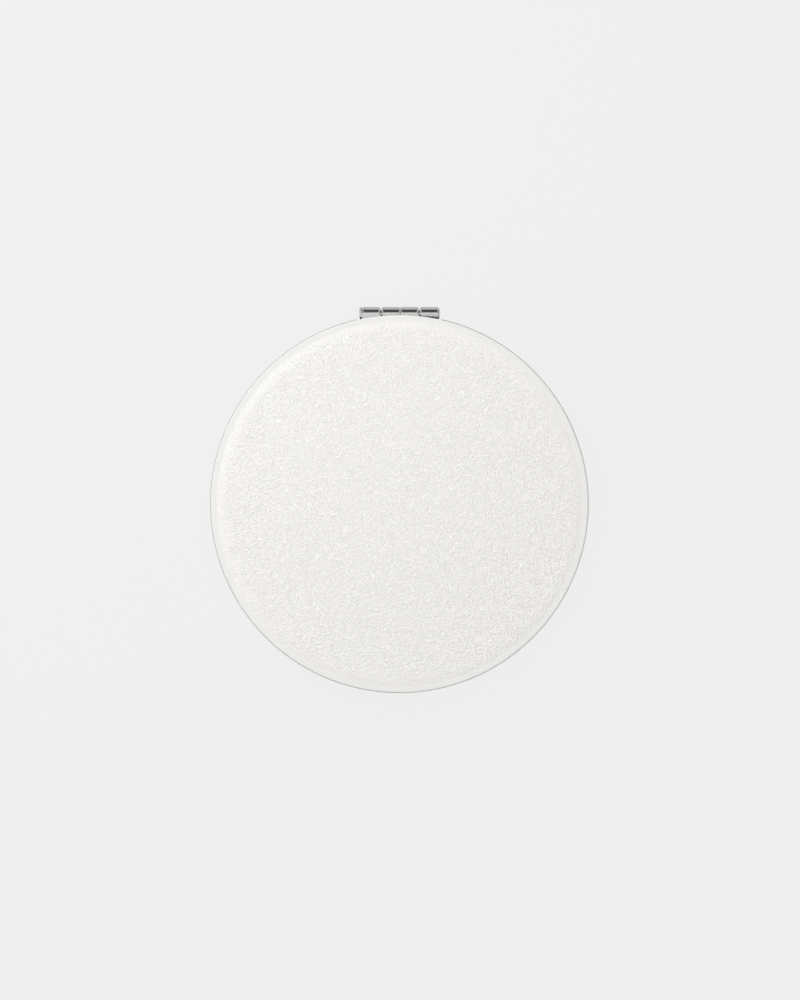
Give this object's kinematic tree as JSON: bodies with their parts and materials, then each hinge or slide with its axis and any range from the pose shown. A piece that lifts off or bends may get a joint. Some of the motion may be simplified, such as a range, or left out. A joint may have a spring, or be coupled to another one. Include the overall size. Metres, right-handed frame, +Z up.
{
  "type": "compact mirror",
  "caption": "Round folding pocket mirror in padded white grained leather, with a metal rim, a rolled knuckle hinge, a plain mirror in the lid and a magnifying one in the base",
  "frame": {"origin": "the centre of the base's flat outer face, which the closed case lies on", "axes": "+Z up through the closed case, +Y towards the hinge, +X along the hinge pin to the right seen from above"},
  "size_m": [0.07, 0.0714, 0.011],
  "materials": {
    "white_leather": "fine pebbled grain, satin",
    "pad_foam": "soft closed-cell foam",
    "polished_steel": "polished stainless sheet",
    "hinge_chrome": "bright chrome",
    "plated_plastic": "silver plated, satin",
    "mirror_glass": "silvered float glass",
    "foam_tape": "double-sided adhesive foam",
    "magnet_nickel": "nickel plated",
    "clear_silicone": "translucent, soft"
  },
  "bodies": {
    "base": {"base_shell": "polished_steel", "base_foam_pad": "pad_foam", "base_leather": "white_leather", "base_mirror": "mirror_glass", "base_mirror_tape": "foam_tape", "base_bezel": "plated_plastic", "base_magnet": "magnet_nickel", "base_bumpers": "clear_silicone", "base_hinge_leaf": "hinge_chrome", "base_hinge_rivets": "hinge_chrome", "hinge_pin": "hinge_chrome"},
    "lid": {"lid_shell": "polished_steel", "lid_foam_pad": "pad_foam", "lid_leather": "white_leather", "lid_mirror": "mirror_glass", "lid_mirror_tape": "foam_tape", "lid_bezel": "plated_plastic", "lid_magnet": "magnet_nickel", "lid_hinge_leaf": "hinge_chrome", "lid_hinge_rivets": "hinge_chrome"}
  },
  "joints": [
    {"name": "lid_hinge", "type": "hinge", "parent": "base", "child": "lid", "pos_m": [0, 0.0352, 0.00548], "axis": [-1, 0, 0], "range_deg": [0, 180]}
  ]
}
